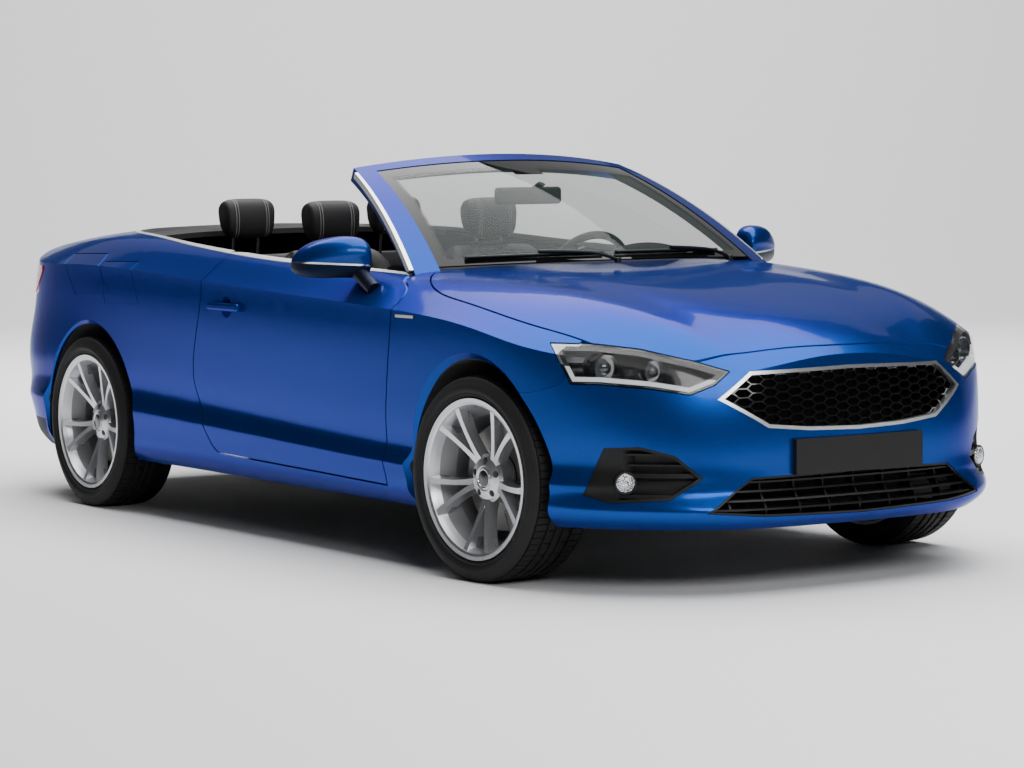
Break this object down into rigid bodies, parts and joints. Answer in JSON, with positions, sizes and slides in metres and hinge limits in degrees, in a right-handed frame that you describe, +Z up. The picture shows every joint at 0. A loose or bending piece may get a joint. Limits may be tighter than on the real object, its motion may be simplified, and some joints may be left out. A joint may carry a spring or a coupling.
{
  "type": "convertible car",
  "caption": "Open convertible car with a low blue body, a hexagonal honeycomb grille, slim lamps, paired-spoke wheels, opening doors and lids, and steered front wheels.",
  "frame": {"origin": "on the ground, at the middle of the car's length and width", "axes": "+X to the nose, +Y to the car's left, +Z up"},
  "size_m": [4.6688, 2.0294, 1.357],
  "materials": {
    "black_leather": "black leather with pale stitching",
    "black_plastic": "satin black",
    "blue_paint": "metallic blue paint under clear coat",
    "bright_trim": "satin bright trim",
    "cabin_plastic": "soft grained black",
    "cast_metal": "bare casting",
    "exhaust_steel": "brushed",
    "glass": "clear laminated glass",
    "lamp_clear": "clear lens over bright reflectors",
    "lamp_red": "red lens",
    "soft_top_cloth": "black cloth and grained cover",
    "tyre_rubber": "black rubber",
    "wheel_silver": "silver lacquer"
  },
  "bodies": {
    "body": {"belt_trim": "bright_trim", "body_side_left": "blue_paint", "body_side_right": "blue_paint", "bumper_front": "blue_paint", "bumper_rear": "blue_paint", "cabin_tub": "cabin_plastic", "centre_console": "cabin_plastic", "dashboard": "cabin_plastic", "deck_panel": "blue_paint", "engine_block": "cast_metal", "exhaust": "exhaust_steel", "fender_left": "blue_paint", "fender_right": "blue_paint", "fog_inserts": "black_plastic", "front_subframe": "cast_metal", "grille": "black_plastic", "grille_frame": "bright_trim", "headlamp_guides": "lamp_clear", "headlamp_lenses": "lamp_clear", "headlamps": "lamp_clear", "interior_mirror": "black_plastic", "lower_grille": "black_plastic", "number_plate": "black_plastic", "pillar_trim": "bright_trim", "radiator": "black_plastic", "rear_axle": "cast_metal", "rear_seat": "black_leather", "scuttle": "black_plastic", "seat_front_left": "black_leather", "seat_front_right": "black_leather", "tail_lamps": "lamp_red", "top_cover": "soft_top_cloth", "tub_front": "cabin_plastic", "tub_rear": "cabin_plastic", "windscreen_frame": "blue_paint", "windscreen_glass": "glass"},
    "hood": {"hood": "blue_paint"},
    "trunk_lid": {"trunk_lid": "blue_paint"},
    "steering_wheel": {"steering_wheel": "cabin_plastic"},
    "door_right": {"door_card_right": "cabin_plastic", "door_mirror_right": "blue_paint", "door_right": "blue_paint", "door_trim_right": "bright_trim"},
    "knuckle_right": {"knuckle_right": "cast_metal"},
    "wheel_front_right": {"wheel_front_right_tyre": "tyre_rubber", "wheel_front_right_rim": "wheel_silver"},
    "wheel_rear_right": {"wheel_rear_right_tyre": "tyre_rubber", "wheel_rear_right_rim": "wheel_silver"},
    "door_left": {"door_card_left": "cabin_plastic", "door_left": "blue_paint", "door_mirror_left": "blue_paint", "door_trim_left": "bright_trim"},
    "knuckle_left": {"knuckle_left": "cast_metal"},
    "wheel_front_left": {"wheel_front_left_tyre": "tyre_rubber", "wheel_front_left_rim": "wheel_silver"},
    "wheel_rear_left": {"wheel_rear_left_tyre": "tyre_rubber", "wheel_rear_left_rim": "wheel_silver"}
  },
  "joints": [
    {"name": "hood_hinge", "type": "hinge", "parent": "body", "child": "hood", "pos_m": [0.926, 0, 0.968], "axis": [0, -1, 0], "range_deg": [0, 55]},
    {"name": "trunk_hinge", "type": "hinge", "parent": "body", "child": "trunk_lid", "pos_m": [-1.722, 0, 1.07], "axis": [0, 1, 0], "range_deg": [0, 70]},
    {"name": "door_right_hinge", "type": "hinge", "parent": "body", "child": "door_right", "pos_m": [0.85, -0.895, 0.6], "axis": [0, 0, 1], "range_deg": [0, 65]},
    {"name": "door_left_hinge", "type": "hinge", "parent": "body", "child": "door_left", "pos_m": [0.85, 0.895, 0.6], "axis": [0, 0, -1], "range_deg": [0, 65]},
    {"name": "steer_right", "type": "hinge", "parent": "body", "child": "knuckle_right", "pos_m": [1.475, -0.742, 0.3305], "axis": [0, 0, 1], "range_deg": [-35, 25]},
    {"name": "steer_left", "type": "hinge", "parent": "body", "child": "knuckle_left", "pos_m": [1.475, 0.742, 0.3305], "axis": [0, 0, 1], "range_deg": [-35, 25]},
    {"name": "steering_wheel_turn", "type": "hinge", "parent": "body", "child": "steering_wheel", "pos_m": [0.279, 0.37, 0.897], "axis": [-0.9063, 0, 0.4226], "range_deg": [-490, 350]},
    {"name": "wheel_front_right_spin", "type": "hinge", "parent": "knuckle_right", "child": "wheel_front_right", "pos_m": [1.47971, -0.7958, 0.3305], "axis": [-0.0872, 0.9962, 0], "continuous": true},
    {"name": "wheel_front_left_spin", "type": "hinge", "parent": "knuckle_left", "child": "wheel_front_left", "pos_m": [1.47029, 0.7958, 0.3305], "axis": [-0.0872, 0.9962, 0], "continuous": true},
    {"name": "wheel_rear_right_spin", "type": "hinge", "parent": "body", "child": "wheel_rear_right", "pos_m": [-1.29, -0.79, 0.3305], "axis": [0, 1, 0], "continuous": true},
    {"name": "wheel_rear_left_spin", "type": "hinge", "parent": "body", "child": "wheel_rear_left", "pos_m": [-1.29, 0.79, 0.3305], "axis": [0, 1, 0], "continuous": true}
  ],
  "couplings": [
    {"joint": "steer_left", "follows": "steer_right", "ratio": 1},
    {"joint": "steering_wheel_turn", "follows": "steer_right", "ratio": 14}
  ]
}
